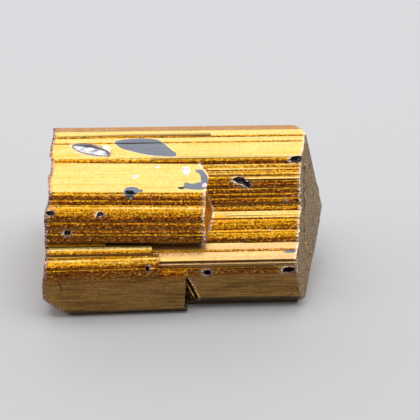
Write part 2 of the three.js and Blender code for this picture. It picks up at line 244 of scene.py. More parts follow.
# Half sizes a little above those of the hollows, whose sides are uneven.
CHIPS = (
    Chip(18.15, 9.35, 8.15, 1.42, 0.8, 6),
    Chip(8.6, 10.0, 4.55, 1.75, 0.8, -18),
    Chip(9.7, 10.0, 3.95, 1.1, 0.6, -30),
    Chip(16.2, 11.6, -10.4, 1.5, 0.75, 4),
    Chip(2.5, 11.6, -10.6, 1.05, 0.68),
    Chip(-16.3, 8.35, 10.15, 4.0, 1.5, -15, Surface.GLOSSY),
    Chip(-10.1, 12.95, 3.0, 1.15, 0.78, -8),
    Chip(-15.1, 13.5, -0.6, 0.9, 0.62),
    Chip(-23.3, 13.5, -0.3, 1.0, 0.72),
    Chip(-20.6, 13.2, -3.6, 0.85, 0.66, 12),
    Chip(-7.5, 13.1, -9.7, 0.5, 0.78),
    Chip(-1.7, 12.5, 3.55, 1.0, 0.38),
)

FLAKES = (
    Flake(Surface.GREY, 8.2, (
        (-12.35, 11.45), (-11.7, 11.8), (-8.5, 12.0), (-5.3, 11.9), (-4.2, 11.2), (-2.9, 10.1), (-1.9, 9.3),
        (-2.3, 8.75), (-4.7, 9.0), (-7.6, 9.3), (-10.1, 10.0), (-11.9, 10.7)), 0.08, 0.15),
    # A groove drawn as a dark line of painted shade runs on through the bared patch.
    Flake(Surface.SHADE_LINES, 8.2, ((-12.4, 11.1), (-12.3, 11.24), (-8.0, 11.28), (-4.4, 11.2), (-8.0, 11.1))),
    Flake(Surface.PALE, 8.6, (
        (-14.5, 10.3), (-14.3, 10.85), (-13.6, 11.05), (-13.0, 10.7), (-12.9, 10.2), (-13.4, 9.6),
        (-14.0, 9.4))),
    Flake(Surface.ROSE, 11.6, (
        (-1.3, 6.75), (-0.7, 7.1), (-0.1, 7.05), (0.15, 6.4), (-0.4, 5.6), (-0.95, 5.85)), 0.06),
    Flake(Surface.GREY, 11.2, (
        (0.8, 6.35), (1.7, 6.65), (2.5, 6.35), (2.95, 5.1), (2.95, 3.6), (2.0, 3.35), (1.85, 5.2),
        (1.5, 5.8)), ragged=0.2),
    Flake(Surface.GREY, 12.5, (
        (-1.7, 3.5), (-1.1, 3.8), (-0.75, 4.6), (-0.2, 4.1), (0.9, 4.3), (2.0, 4.6), (2.8, 3.5), (2.0, 3.1),
        (0.9, 3.2), (-0.5, 3.35)), ragged=0.2),
    Flake(Surface.ROSE, 12.4, ((1.85, 3.7), (2.1, 4.2), (2.6, 4.3), (2.85, 3.85), (2.4, 3.5))),
    Flake(Surface.GREY, 12.9, (
        (-11.3, 2.95), (-10.8, 3.75), (-9.9, 3.85), (-8.8, 3.75), (-8.5, 3.2), (-9.4, 2.3),
        (-10.5, 1.9)), 0.06),
    Flake(Surface.GREY, 12.9, ((-8.9, 3.3), (-8.1, 3.45), (-7.9, 3.0), (-8.6, 2.8))),
    Flake(Surface.PALE, 12.9, ((-10.3, 1.95), (-10.1, 2.2), (-9.75, 2.1), (-9.75, 1.75), (-10.1, 1.65))),
    Flake(Surface.ROSE, 12.2, ((-9.7, 5.45), (-9.4, 5.8), (-8.6, 5.85), (-8.6, 5.4), (-9.3, 5.1))),
    Flake(Surface.ROSE, 11.4, ((-5.8, 7.05), (-5.5, 7.4), (-4.9, 7.3), (-5.2, 6.75))),
    Flake(Surface.GREY, 12.0, ((15.1, -7.45), (16.2, -7.15), (17.5, -7.15), (17.5, -7.6), (16.3, -7.7))),
    # Film left standing along the scar, painted bright as a highlight, and two long cracks in the lower
    # crystal drawn in painted shade.
    Flake(Surface.GILT_HIGHLIGHT, 11.0, ((-0.6, -11.6), (-0.4, -11.45), (1.55, -14.75), (1.35, -14.9))),
    Flake(Surface.GILT_HIGHLIGHT, 10.5, ((-0.75, -12.6), (-0.6, -12.5), (0.75, -14.9), (0.6, -15.0))),
    Flake(Surface.SHADE_LINES, 12.0, ((-15.8, -13.42), (-15.8, -13.36), (-1.2, -13.3), (-1.2, -13.36))),
    Flake(Surface.SHADE_LINES, 12.0, ((-12.5, -13.82), (-12.5, -13.75), (-1.0, -13.66), (-1.0, -13.73))),
    # A shell-shaped crack at the lower crystal's left end, drawn in painted shade.
    Flake(Surface.SHADE_LINES, 11.5, (
        (-22.4, -11.1), (-21.85, -11.8), (-21.6, -12.7), (-21.8, -13.8), (-22.7, -14.8), (-21.9, -13.9),
        (-21.75, -12.7), (-22.0, -11.9))),
)


def add_node(tree: bpy.types.NodeTree, kind: str, settings: dict | None = None,
             inputs: dict | None = None, stops: tuple = ()) -> bpy.types.Node:
    """Adds a shader node with its settings, input values and links.

    Args:
        tree: Node tree to add to.
        kind: Blender's name for the node type.
        settings: Node attributes to set.
        inputs: Input name or number to a value, or to the socket or node that feeds it.
        stops: Position and colour pairs, for a colour ramp.

    Returns:
        The new node.
    """
    node = tree.nodes.new(kind)
    for name, value in (settings or {}).items():
        setattr(node, name, value)
    for socket, value in (inputs or {}).items():
        if isinstance(value, bpy.types.Node):
            value = value.outputs[0]
        if isinstance(value, bpy.types.NodeSocket):
            tree.links.new(value, node.inputs[socket])
        else:
            node.inputs[socket].default_value = value
    if stops:
        ramp = node.color_ramp
        while len(ramp.elements) > 1:
            ramp.elements.remove(ramp.elements[-1])
        ramp.elements[0].position, ramp.elements[0].color = stops[0]
        for position, colour in stops[1:]:
            ramp.elements.new(position).color = colour
    return node


def srgb(code: str) -> tuple:
    """Turns a colour code into linear red, green, blue and alpha.

    Args:
        code: Six hex digits of an sRGB colour.

    Returns:
        Four linear values, alpha 1.
    """
    values = [int(code[i:i + 2], 16) / 255 for i in (0, 2, 4)]
    linear = [v / 12.92 if v <= 0.04045 else ((v + 0.055) / 1.055) ** 2.4 for v in values]
    return (*linear, 1.0)


def ramp_stops(tones: tuple, low: float = 0.0, high: float = 1.0) -> tuple:
    """Turns tones into the stops of a colour ramp.

    Args:
        tones: Pairs of a place and a colour code.
        low: The place at the ramp's start.
        high: The place at its end.

    Returns:
        Pairs of a position from 0 to 1 and a linear colour.
    """
    return tuple(((place - low) / (high - low), srgb(code)) for place, code in tones)


@dataclass(frozen=True)
class Grain:
    """A growth pattern with a real size: slow along the striae, quick across them, in mm."""

    along: float
    across: float
    detail: float = 2.0
    gain: float = 0.5

    def place(self, tree: bpy.types.NodeTree) -> bpy.types.Node:
        """Adds coordinates that run by one for each grain.

        Args:
            tree: Node tree.

        Returns:
            Node that gives the coordinates.
        """
        here = add_node(tree, "ShaderNodeTexCoord")
        scale = (1 / (self.along * MM), 1 / (self.across * MM), 1 / (self.across * MM))
        return add_node(tree, "ShaderNodeMapping", inputs={"Vector": here.outputs["Object"], "Scale": scale})

    def cloud(self, tree: bpy.types.NodeTree) -> bpy.types.Node:
        """Adds a value from 0 to 1 that drifts softly from grain to grain.

        Args:
            tree: Node tree.

        Returns:
            Node whose first output is the value.
        """
        return add_node(tree, "ShaderNodeTexNoise", inputs={
            "Vector": self.place(tree), "Scale": 1.0, "Detail": self.detail, "Roughness": self.gain})

    def cells(self, tree: bpy.types.NodeTree) -> bpy.types.Node:
        """Adds a cell for each grain, with a colour of its own.

        Args:
            tree: Node tree.

        Returns:
            Node that gives the distance from the cell's middle, and its colour.
        """
        return add_node(tree, "ShaderNodeTexVoronoi", inputs={"Vector": self.place(tree), "Scale": 1.0})

    def leaning(self, tree: bpy.types.NodeTree, normal: bpy.types.Node,
                amount: float | bpy.types.Node) -> bpy.types.Node:
        """Leans each grain's little face its own way.

        Args:
            tree: Node tree.
            normal: Node that gives the normal to start from.
            amount: How far the faces lean; 1 is about 30 degrees.

        Returns:
            Node that gives the new normal.
        """
        centred = add_node(tree, "ShaderNodeVectorMath", {"operation": "SUBTRACT"},
                           {0: self.cells(tree).outputs["Color"], 1: (0.5, 0.5, 0.5)})
        scaled = add_node(tree, "ShaderNodeVectorMath", SCALED, {0: centred, "Scale": amount})
        leant = add_node(tree, "ShaderNodeVectorMath", PLUS, {0: normal, 1: scaled})
        return add_node(tree, "ShaderNodeVectorMath", {"operation": "NORMALIZE"}, {0: leant})


@dataclass(frozen=True)
class Finish:
    """A surface finish: its name, and the values that are the same all over it."""

    name: str
    metallic: float = 1.0
    roughness: float = 0.3

    def start(self) -> tuple:
        """Makes the material with its shader and output.

        Returns:
            The material, its node tree and its shader.
        """
        material = bpy.data.materials.new(self.name)
        material.use_nodes = True
        tree = material.node_tree
        tree.nodes.clear()
        shader = add_node(tree, "ShaderNodeBsdfPrincipled", inputs={
            "Metallic": self.metallic, "Roughness": self.roughness})
        add_node(tree, "ShaderNodeOutputMaterial", inputs={"Surface": shader})
        return material, tree, shader


@dataclass(frozen=True)
class GoldFilm(Finish):
    """Vapour-deposited titanium and gold film on the striated prism faces.

    The film is thickest where it faced the vapour, so its interference colour goes from olive under the
    crystal through brown and orange to pale gold on top; this colour by facing is also painted shade under
    the crystal and painted light on top, and faces that look along the crystal are painted brighter.
    Growth lines run through it along the crystal.
    """

    roughness: float = 0.36
    low: float = -0.7
    high: float = 1.0
    # Tones by facing: the dark ones under the crystal are partly painted shade, the pale ones on top partly
    # painted light.
    tones: tuple = (
        (-0.64, "6c5c3e"), (-0.3, "7e6a42"), (0.0, "94703e"), (0.22, "8a5626"), (0.4, "9c5016"),
        (0.52, "aa5818"), (0.6, "fc961c"), (0.74, "ffb01c"), (0.8, "fcb22c"), (0.84, "f4c256"),
        (0.865, "f2d47c"), (0.9, "f2da86"), (0.99, "cc965c"))
    speck_tones: tuple = ((0.4, "5c3612"), (0.52, "7e3a12"), (0.62, "8c3a18"))
    blush_colour: str = "f0ac8c"
    golden_colour: str = "f2a83a"
    dirt_colour: str = "5c4428"
    worn_colour: str = "b08a4c"
    groove_shade_colour: str = "5e3414"
    # Pale frayed film along edges, partly painted highlight.
    frayed_highlight_colour: str = "fff0dc"
    # The broken base's rim: painted shade, speckled with pale painted highlights.
    rim_shade: str = "3c2a26"
    rim_light: str = "eebcae"
    spark_colour: str = "ffe0a8"
    # How far drift and lines shift the tone, in the units of the tones' places.
    drift_swing: float = 0.2
    lines_swing: float = 0.34
    # How far the film's thickness shifts the tone on the guessed back, which is nearer to gold.
    back_shift: float = 0.13
    # Each grain's brightness goes from low to low plus swing, added to 1.
    grain_swing: float = 1.9
    grain_low: float = -0.78
    # Lengths in mm: how wide the painted shade reaches into grooves, how wide the pale frayed film with its
    # painted highlight reaches, how far edges round off, and how high the ridges are.
    groove_shade_width: float = 0.7
    frayed_highlight_width: float = 0.9
    edge_radius: float = 0.05
    ridge_height: float = 0.09
    # How far a spark leans towards the light.
    spark_lift: tuple = (0.0, -0.1, 0.7)
    # Places in mm: where the lower crystals begin, up the front, and where the lamella ends, along it.
    lower_top: float = -5.4
    lamella_end: float = -5.0
    drift: Grain = Grain(6.0, 1.1, 3.0)
    lines: Grain = Grain(16.0, 0.3, 2.0)
    blush: Grain = Grain(28.0, 0.7, 2.0)
    # The sugary grain of the film, 0.1 mm across in the stone, is drawn 0.24 mm across and 0.5 mm long.
    mottle: Grain = Grain(0.5, 0.24, 3.0, 0.7)
    hues: Grain = Grain(0.9, 0.5, 2.0, 0.6)
    dirt: Grain = Grain(18.0, 0.12, 2.0, 0.6)
    stains: Grain = Grain(5.0, 0.5, 4.0, 0.65)
    ridges: Grain = Grain(30.0, 0.42, 2.0)
    # Real striae are down to 0.02 mm apart; they are drawn 0.15 mm apart, or they wouldn't show.
    striae: Grain = Grain(12.0, 0.15, 2.0)
    # The film's grain of 0.05 mm is drawn at 0.2 mm, about one dot of the picture.
    grains: Grain = Grain(0.24, 0.17)
    sparks: Grain = Grain(0.36, 0.3)
    speckle: Grain = Grain(0.3, 0.22, 2.0, 0.7)

    def make(self) -> bpy.types.Material:
        """Makes the material.

        Returns:
            The material.
        """
        material, tree, shader = self.start()
        facing = add_node(tree, "ShaderNodeNewGeometry")
        parts = add_node(tree, "ShaderNodeSeparateXYZ", inputs={0: facing.outputs["True Normal"]})
        height = parts.outputs["Z"]
        endwise = add_node(tree, "ShaderNodeMath", {"operation": "ABSOLUTE"}, {0: parts.outputs["X"]})
        colour = self.film_colour(tree, height, endwise)
        colour, flicker = self.frayed_edges_and_highlights(tree, colour, endwise)
        calm = add_node(tree, "ShaderNodeMapRange", inputs={0: height, 1: 0.76, 2: 0.85, 3: 1.0, 4: 0.1})
        under = add_node(tree, "ShaderNodeMapRange", inputs={0: height, 1: 0.05, 2: 0.35, 3: 0.35, 4: 1.0})
        ridged = add_node(tree, "ShaderNodeMath", TIMES, {0: calm, 1: under})
        self.relief(tree, shader, colour, ridged, flicker)
        return material

    def along(self, tree: bpy.types.NodeTree, direction: Vector) -> bpy.types.Node:
        """Adds the distance from the main crystal's axis along a direction.

        Args:
            tree: Node tree.
            direction: Unit vector in the frame.

        Returns:
            Node that gives the distance in mm.
        """
        here = add_node(tree, "ShaderNodeTexCoord")
        reach = add_node(tree, "ShaderNodeVectorMath", {"operation": "DOT_PRODUCT"},
                         {0: here.outputs["Object"], 1: direction / MM})
        return add_node(tree, "ShaderNodeMath", {"operation": "SUBTRACT"},
                        {0: reach.outputs["Value"], 1: direction.dot(AXES.origin)})

    def film_colour(self, tree: bpy.types.NodeTree, height: bpy.types.NodeSocket,
                    endwise: bpy.types.Node) -> bpy.types.NodeSocket:
        """Adds the interference colour with its painted light and shade by facing, its lines, and painted
        shade in its grooves.

        Args:
            tree: Node tree.
            height: How far the face looks up, from -1 to 1.
            endwise: How far it looks along the crystal, from 0 to 1.

        Returns:
            The colour socket.
        """
        drift = add_node(tree, "ShaderNodeMath", TIMES_PLUS,
                         {0: self.drift.cloud(tree), 1: self.drift_swing, 2: -self.drift_swing / 2})
        lines = add_node(tree, "ShaderNodeMath", TIMES_PLUS,
                         {0: self.lines.cloud(tree), 1: self.lines_swing, 2: -self.lines_swing / 2})
        varied = add_node(tree, "ShaderNodeMath", PLUS, {0: drift, 1: lines})
        # The tone by facing up is partly film colour, partly painted shade underneath and painted light on
        # top.
        even = add_node(tree, "ShaderNodeMapRange", inputs={0: height, 1: 0.82, 2: 0.86, 3: 1.0, 4: 0.3})
        tone = add_node(tree, "ShaderNodeMath", TIMES_PLUS, {0: varied, 1: even, 2: height})
        # Painted light: faces that look along the crystal get a brighter tone.
        painted_brightening = add_node(tree, "ShaderNodeMapRange", inputs={0: endwise, 1: 0.2, 2: 0.5, 3: 0.0, 4: 0.5})
        tone = add_node(tree, "ShaderNodeMath", PLUS, {0: tone, 1: painted_brightening})
        behind = add_node(tree, "ShaderNodeMapRange", inputs={
            0: self.along(tree, AXES.out), 1: 1.0, 2: -4.0, 3: 0.0, 4: self.back_shift})
        tone = add_node(tree, "ShaderNodeMath", PLUS, {0: tone, 1: behind})
        share = add_node(tree, "ShaderNodeMapRange", inputs={0: tone, 1: self.low, 2: self.high})
        film = add_node(tree, "ShaderNodeValToRGB", inputs={0: share},
                        stops=ramp_stops(self.tones, self.low, self.high))
        upward = add_node(tree, "ShaderNodeMapRange", inputs={0: height, 1: 0.62, 2: 0.84, 3: 0.0, 4: 0.6})
        lower = add_node(tree, "ShaderNodeMapRange", inputs={
            0: self.along(tree, AXES.up), 1: self.lower_top, 2: self.lower_top - 1.0, 3: 0.16, 4: 1.0})
        beyond = add_node(tree, "ShaderNodeMapRange", inputs={
            0: self.along(tree, Vector((1, 0, 0))), 1: self.lamella_end - 1.6, 2: self.lamella_end,
            3: 0.1, 4: lower})
        rosiest = add_node(tree, "ShaderNodeMath", TIMES, {0: upward, 1: beyond})
        blush = add_node(tree, "ShaderNodeMapRange", inputs={
            0: self.blush.cloud(tree), 1: 0.4, 2: 0.62, 3: 0.0, 4: rosiest})
        rosy = add_node(tree, "ShaderNodeMix", COLOUR_MIX, {0: blush, 6: film, 7: srgb(self.blush_colour)})
        mottle = self.mottle.cloud(tree)
        steep = add_node(tree, "ShaderNodeMapRange", inputs={0: height, 1: 0.5, 2: 0.84, 3: 1.0, 4: 0.12})
        low = add_node(tree, "ShaderNodeMapRange", inputs={0: height, 1: 0.1, 2: 0.36, 3: 0.2, 4: 1.0})
        grainy = add_node(tree, "ShaderNodeMath", TIMES, {0: steep, 1: low})
        # The back is taken to be the evener side, so its film is less sugary.
        sugary = add_node(tree, "ShaderNodeMapRange", inputs={
            0: self.along(tree, AXES.out), 1: -1.0, 2: 5.0, 3: 0.16, 4: grainy})
        hue = add_node(tree, "ShaderNodeValToRGB", inputs={0: self.hues.cloud(tree)},
                       stops=ramp_stops(self.speck_tones))
        dark = add_node(tree, "ShaderNodeMapRange", inputs={0: mottle, 1: 0.51, 2: 0.62, 3: 0.0, 4: sugary})
        dotted = add_node(tree, "ShaderNodeMix", COLOUR_MIX, {0: dark, 6: rosy.outputs[2], 7: hue})
        warm = add_node(tree, "ShaderNodeMapRange", inputs={0: mottle, 1: 0.46, 2: 0.37, 3: 0.0, 4: sugary})
        golden = add_node(tree, "ShaderNodeMix", COLOUR_MIX, {
            0: warm, 6: dotted.outputs[2], 7: srgb(self.golden_colour)})
        chosen = add_node(tree, "ShaderNodeSeparateXYZ", inputs={0: self.grains.cells(tree).outputs["Color"]})
        swing = add_node(tree, "ShaderNodeMath", TIMES_PLUS, {
            0: chosen.outputs["Y"], 1: self.grain_swing, 2: self.grain_low})
        gain = add_node(tree, "ShaderNodeMath", TIMES_PLUS, {0: swing, 1: sugary, 2: 1.0})
        flecked = add_node(tree, "ShaderNodeVectorMath", SCALED, {0: golden.outputs[2], "Scale": gain})
        under = add_node(tree, "ShaderNodeMapRange", inputs={0: height, 1: 0.4, 2: 0.15, 3: 0.0, 4: 0.8})
        smears = add_node(tree, "ShaderNodeMath", TIMES, {
            0: self.dirt.cloud(tree), 1: self.stains.cloud(tree)})
        dirt = add_node(tree, "ShaderNodeMapRange", inputs={0: smears, 1: 0.25, 2: 0.37, 3: 0.0, 4: under})
        dirty = add_node(tree, "ShaderNodeMix", COLOUR_MIX, {0: dirt, 6: flecked, 7: srgb(self.dirt_colour)})
        worn = add_node(tree, "ShaderNodeMapRange", inputs={0: smears, 1: 0.23, 2: 0.12, 3: 0.0, 4: under})
        streaked = add_node(tree, "ShaderNodeMix", COLOUR_MIX, {
            0: worn, 6: dirty.outputs[2], 7: srgb(self.worn_colour)})
        # Painted shade: the colour darkens to dark brown where ambient occlusion finds a groove or crease.
        groove = add_node(tree, "ShaderNodeAmbientOcclusion", {"samples": 6, "only_local": True},
                          {"Distance": self.groove_shade_width * MM})
        groove_shade = add_node(tree, "ShaderNodeMapRange", inputs={
            0: groove.outputs["AO"], 1: 0.35, 2: 0.85, 3: 0.75, 4: 0.0})
        groove_shaded = add_node(tree, "ShaderNodeMix", COLOUR_MIX, {
            0: groove_shade, 6: streaked.outputs[2], 7: srgb(self.groove_shade_colour)})
        return groove_shaded.outputs[2]

    def frayed_edges_and_highlights(self, tree: bpy.types.NodeTree, colour: bpy.types.NodeSocket,
               endwise: bpy.types.Node) -> tuple:
        """Adds the pale frayed film along edges that meet an end, partly painted highlight, and the dark rim
        of the broken base, painted shade with pale painted highlights.

        Args:
            tree: Node tree.
            colour: Colour socket to paint over.
            endwise: How far the face looks along the crystal, from 0 to 1.

        Returns:
            The colour socket, and the node that says where the frayed film catches the light.
        """
        rounded = add_node(tree, "ShaderNodeBevel", {"samples": 8}, {"Radius": self.frayed_highlight_width * MM})
        across = add_node(tree, "ShaderNodeSeparateXYZ", inputs={0: rounded})
        speckle = add_node(tree, "ShaderNodeMapRange", inputs={0: self.speckle.cloud(tree), 1: 0.44, 2: 0.56})
        # The steps of the lower crystal and the lamella are sharp; their edges haven't frayed.
        above = add_node(tree, "ShaderNodeMapRange", inputs={
            0: self.along(tree, AXES.up), 1: self.lower_top, 2: self.lower_top + 0.4})
        outer = add_node(tree, "ShaderNodeMapRange", inputs={
            0: self.along(tree, Vector((1, 0, 0))), 1: -0.2, 2: 0.4})
        worn = add_node(tree, "ShaderNodeMath", {"operation": "MAXIMUM"}, {0: above, 1: outer})
        # The back is taken to be less worn, so less of its film has frayed.
        front = add_node(tree, "ShaderNodeMapRange", inputs={
            0: self.along(tree, AXES.out), 1: 0.0, 2: 3.0, 3: 0.3, 4: 1.0})
        exposed = add_node(tree, "ShaderNodeMath", TIMES, {0: worn, 1: front})
        # Painted highlight, partly frayed film: pale speckle along edges that meet an end.
        right = add_node(tree, "ShaderNodeMath", {"operation": "SUBTRACT"}, {
            0: across.outputs["X"], 1: endwise})
        fray_highlight = add_node(tree, "ShaderNodeMapRange", inputs={0: right, 1: 0.02, 2: 0.09, 3: 0.0, 4: exposed})
        pale = add_node(tree, "ShaderNodeMath", TIMES, {0: fray_highlight, 1: speckle})
        lit = add_node(tree, "ShaderNodeMix", COLOUR_MIX, {0: pale, 6: colour, 7: srgb(self.frayed_highlight_colour)})
        # Painted shade along the rim of the broken base, speckled with pale painted highlights.
        left = add_node(tree, "ShaderNodeMapRange", inputs={
            0: across.outputs["X"], 1: -0.02, 2: -0.08, 3: 0.0, 4: front})
        rim = add_node(tree, "ShaderNodeMix", COLOUR_MIX, {
            0: speckle, 6: srgb(self.rim_shade), 7: srgb(self.rim_light)})
        edged = add_node(tree, "ShaderNodeMix", COLOUR_MIX, {0: left, 6: lit.outputs[2], 7: rim.outputs[2]})
        dots = add_node(tree, "ShaderNodeMath", TIMES, {0: left, 1: speckle})
        flicker = add_node(tree, "ShaderNodeMath", TIMES_PLUS, {0: dots, 1: 0.6, 2: pale})
        return edged.outputs[2], flicker

    def relief(self, tree: bpy.types.NodeTree, shader: bpy.types.Node, colour: bpy.types.NodeSocket,
               ridged: bpy.types.Node, flicker: bpy.types.Node) -> None:
        """Adds striae, grain and sparks to the shader.

        Args:
            tree: Node tree.
            shader: The shader.
            colour: Colour of the film.
            ridged: How rough the face is, from 0 to 1.
            flicker: Where frayed film stands up into the light, from 0 to 1.
        """
        fine = add_node(tree, "ShaderNodeMath", TIMES, {0: self.striae.cloud(tree), 1: 0.7})
        # Few small crystals cover the back, so its own growth ridges stand out more.
        bold = add_node(tree, "ShaderNodeMapRange", inputs={
            0: self.along(tree, AXES.out), 1: 1.0, 2: -4.0, 3: 1.0, 4: 2.6})
        both = add_node(tree, "ShaderNodeMath", TIMES_PLUS, {0: self.ridges.cloud(tree), 1: bold, 2: fine})
        grained = add_node(tree, "ShaderNodeMath", TIMES_PLUS, {0: self.mottle.cloud(tree), 1: 0.6, 2: both})
        heights = add_node(tree, "ShaderNodeMath", TIMES, {0: grained, 1: ridged})
        rounded = add_node(tree, "ShaderNodeBevel", {"samples": 4}, {"Radius": self.edge_radius * MM})
        bump = add_node(tree, "ShaderNodeBump", inputs={
            "Strength": 1.0, "Distance": self.ridge_height * MM, "Height": heights, "Normal": rounded})
        cells = self.sparks.cells(tree)
        chosen = add_node(tree, "ShaderNodeSeparateXYZ", inputs={0: cells.outputs["Color"]})
        rare = add_node(tree, "ShaderNodeMapRange", inputs={0: chosen.outputs["X"], 1: 0.95, 2: 0.99})
        near = add_node(tree, "ShaderNodeMapRange", inputs={0: cells.outputs["Distance"], 1: 0.5, 2: 0.25})
        spark = add_node(tree, "ShaderNodeMath", TIMES, {0: rare, 1: near})
        spark = add_node(tree, "ShaderNodeMath", TIMES, {0: spark, 1: ridged})
        raising = add_node(tree, "ShaderNodeMath", {"operation": "MAXIMUM"}, {0: spark, 1: flicker})
        lifted = add_node(tree, "ShaderNodeVectorMath", SCALED, {0: self.spark_lift, "Scale": raising})
        raised = add_node(tree, "ShaderNodeVectorMath", PLUS, {0: bump, 1: lifted})
        leans = add_node(tree, "ShaderNodeMath", TIMES_PLUS, {0: ridged, 1: 0.3, 2: 0.18})
        grainy = self.grains.leaning(tree, raised, leans)
        painted_brightening = add_node(tree, "ShaderNodeMath", TIMES, {0: spark, 1: 0.5})
        sparkling = add_node(tree, "ShaderNodeMix", COLOUR_MIX, {
            0: painted_brightening, 6: colour, 7: srgb(self.spark_colour)})
        tree.links.new(sparkling.outputs[2], shader.inputs["Base Color"])
        tree.links.new(grainy.outputs[0], shader.inputs["Normal"])


@dataclass(frozen=True)
class SugaryFilm(Finish):
    """The film over the pyramid's sugary, etched faces: dull tan with pin-point glints."""

    metallic: float = 0.9
    roughness: float = 0.27
    tones: tuple = ((0.3, "785f3a"), (0.5, "917246"), (0.7, "a98552"))
    glint_colour: str = "f0d4a0"
    edge_highlight_colour: str = "ffe0b0"
    # Lengths in mm: how wide the pale frayed film, partly painted highlight, reaches at an edge, and how high
    # the grit stands.
    edge_highlight_width: float = 0.4
    grit_height: float = 0.08
    pit_lean: float = 1.2
    patches: Grain = Grain(1.4, 1.4, 4.0)
    grit: Grain = Grain(0.2, 0.2, 3.0, 0.8)
    # Etch pits of 0.05 mm are drawn at 0.24 mm, or they would blur away.
    pits: Grain = Grain(0.24, 0.24)
    rim: Grain = Grain(0.3, 0.3, 2.0, 0.7)

    def make(self) -> bpy.types.Material:
        """Makes the material.

        Returns:
            The material.
        """
        material, tree, shader = self.start()
        film = add_node(tree, "ShaderNodeValToRGB", inputs={0: self.patches.cloud(tree)},
                        stops=ramp_stops(self.tones))
        glint = add_node(tree, "ShaderNodeMapRange", inputs={
            0: self.rim.cloud(tree), 1: 0.6, 2: 0.68, 3: 0.0, 4: 0.8})
        film = add_node(tree, "ShaderNodeMix", COLOUR_MIX, {0: glint, 6: film, 7: srgb(self.glint_colour)})
        rounded = add_node(tree, "ShaderNodeBevel", {"samples": 6}, {"Radius": self.edge_highlight_width * MM})
        shape = add_node(tree, "ShaderNodeNewGeometry")
        same = add_node(tree, "ShaderNodeVectorMath", {"operation": "DOT_PRODUCT"},
                        {0: rounded, 1: shape.outputs["True Normal"]})
        # Painted highlight, partly frayed film: pale speckle along the pyramid's edges.
        edge = add_node(tree, "ShaderNodeMapRange", inputs={0: same.outputs["Value"], 1: 0.995, 2: 0.95})
        speckle = add_node(tree, "ShaderNodeMapRange", inputs={0: self.rim.cloud(tree), 1: 0.45, 2: 0.58})
        fray_highlight = add_node(tree, "ShaderNodeMath", TIMES, {0: edge, 1: speckle})
        edged = add_node(tree, "ShaderNodeMix", COLOUR_MIX, {
            0: fray_highlight, 6: film.outputs[2], 7: srgb(self.edge_highlight_colour)})
        bump = add_node(tree, "ShaderNodeBump", inputs={
            "Strength": 1.0, "Distance": self.grit_height * MM, "Height": self.grit.cloud(tree)})
        grainy = self.pits.leaning(tree, bump, self.pit_lean)
        tree.links.new(edged.outputs[2], shader.inputs["Base Color"])
        tree.links.new(grainy.outputs[0], shader.inputs["Normal"])
        return material


@dataclass(frozen=True)
class BrokenFilm(Finish):
    """The film over fractured stone: little flat steps that each mirror the light in their own way."""

    metallic: float = 0.9
    roughness: float = 0.24
    dark: str = "6a5032"
    middle: str = "947040"
    light: str = "cca05a"
    cool: str = "705a56"
    glint: str = "dcb474"
    # How far the steps lean, how high the grit swells, mm, and how far a glint leans up to the light.
    lean: float = 0.6
    swell: float = 0.08
    glint_lift: tuple = (0.0, 0.0, 0.45)
    patches: Grain = Grain(2.0, 1.7, 5.0, 0.72)
    grit: Grain = Grain(1.2, 1.0, 4.0, 0.6)
    steps: Grain = Grain(1.3, 1.2)
    chinks: Grain = Grain(0.34, 0.24)

    def make(self) -> bpy.types.Material:
        """Makes the material.

        Returns:
            The material.
        """
        material, tree, shader = self.start()
        tones = ((0.28, self.cool), (0.4, self.dark), (0.54, self.middle), (0.72, self.light))
        film = add_node(tree, "ShaderNodeValToRGB", inputs={0: self.patches.cloud(tree)},
                        stops=ramp_stops(tones))
        bump = add_node(tree, "ShaderNodeBump", inputs={
            "Strength": 1.0, "Distance": self.swell * MM, "Height": self.grit.cloud(tree)})
        stepped = self.steps.leaning(tree, bump, self.lean)
        chosen = add_node(tree, "ShaderNodeSeparateXYZ", inputs={0: self.chinks.cells(tree).outputs["Color"]})
        glint = add_node(tree, "ShaderNodeMapRange", inputs={0: chosen.outputs["X"], 1: 0.88, 2: 1.02})
        lifted = add_node(tree, "ShaderNodeVectorMath", SCALED, {0: self.glint_lift, "Scale": glint})
        raised = add_node(tree, "ShaderNodeVectorMath", PLUS, {0: stepped, 1: lifted})
        grainy = self.chinks.leaning(tree, raised, self.lean * 0.5)
        bright = add_node(tree, "ShaderNodeMix", COLOUR_MIX, {0: glint, 6: film, 7: srgb(self.glint)})
        tree.links.new(bright.outputs[2], shader.inputs["Base Color"])
        tree.links.new(grainy.outputs[0], shader.inputs["Normal"])
        return material


@dataclass(frozen=True)
class Bared(Finish):
    """A place where the film is gone: mottled stone or underlayer with a fine uneven surface.

    Its shades, the depth of its unevenness in mm, how bright it is where it turns down, as painted shade,
    and its mottle.
    """

    shades: tuple = ()
    depth: float = 0.05
    turned_down_shade: float = 1.0
    mottle: Grain = Grain(0.8, 0.6, 3.0)

    def make(self) -> bpy.types.Material:
        """Makes the material.

        Returns:
            The material.
        """
        material, tree, shader = self.start()
        mottle = self.mottle.cloud(tree)
        tone = add_node(tree, "ShaderNodeValToRGB", inputs={0: mottle}, stops=ramp_stops(self.shades))
        facing = add_node(tree, "ShaderNodeNewGeometry")
        parts = add_node(tree, "ShaderNodeSeparateXYZ", inputs={0: facing.outputs["True Normal"]})
        # Painted shade: the colour is darkened on faces that turn down.
        share = add_node(tree, "ShaderNodeMapRange", inputs={
            0: parts.outputs["Z"], 1: 0.6, 2: 0.84, 3: self.turned_down_shade, 4: 1.0})
        shaded = add_node(tree, "ShaderNodeVectorMath", SCALED, {0: tone, "Scale": share})
        bump = add_node(tree, "ShaderNodeBump", inputs={
            "Strength": 1.0, "Distance": self.depth * MM, "Height": mottle})
        tree.links.new(shaded.outputs[0], shader.inputs["Base Color"])
        tree.links.new(bump.outputs[0], shader.inputs["Normal"])
        return material


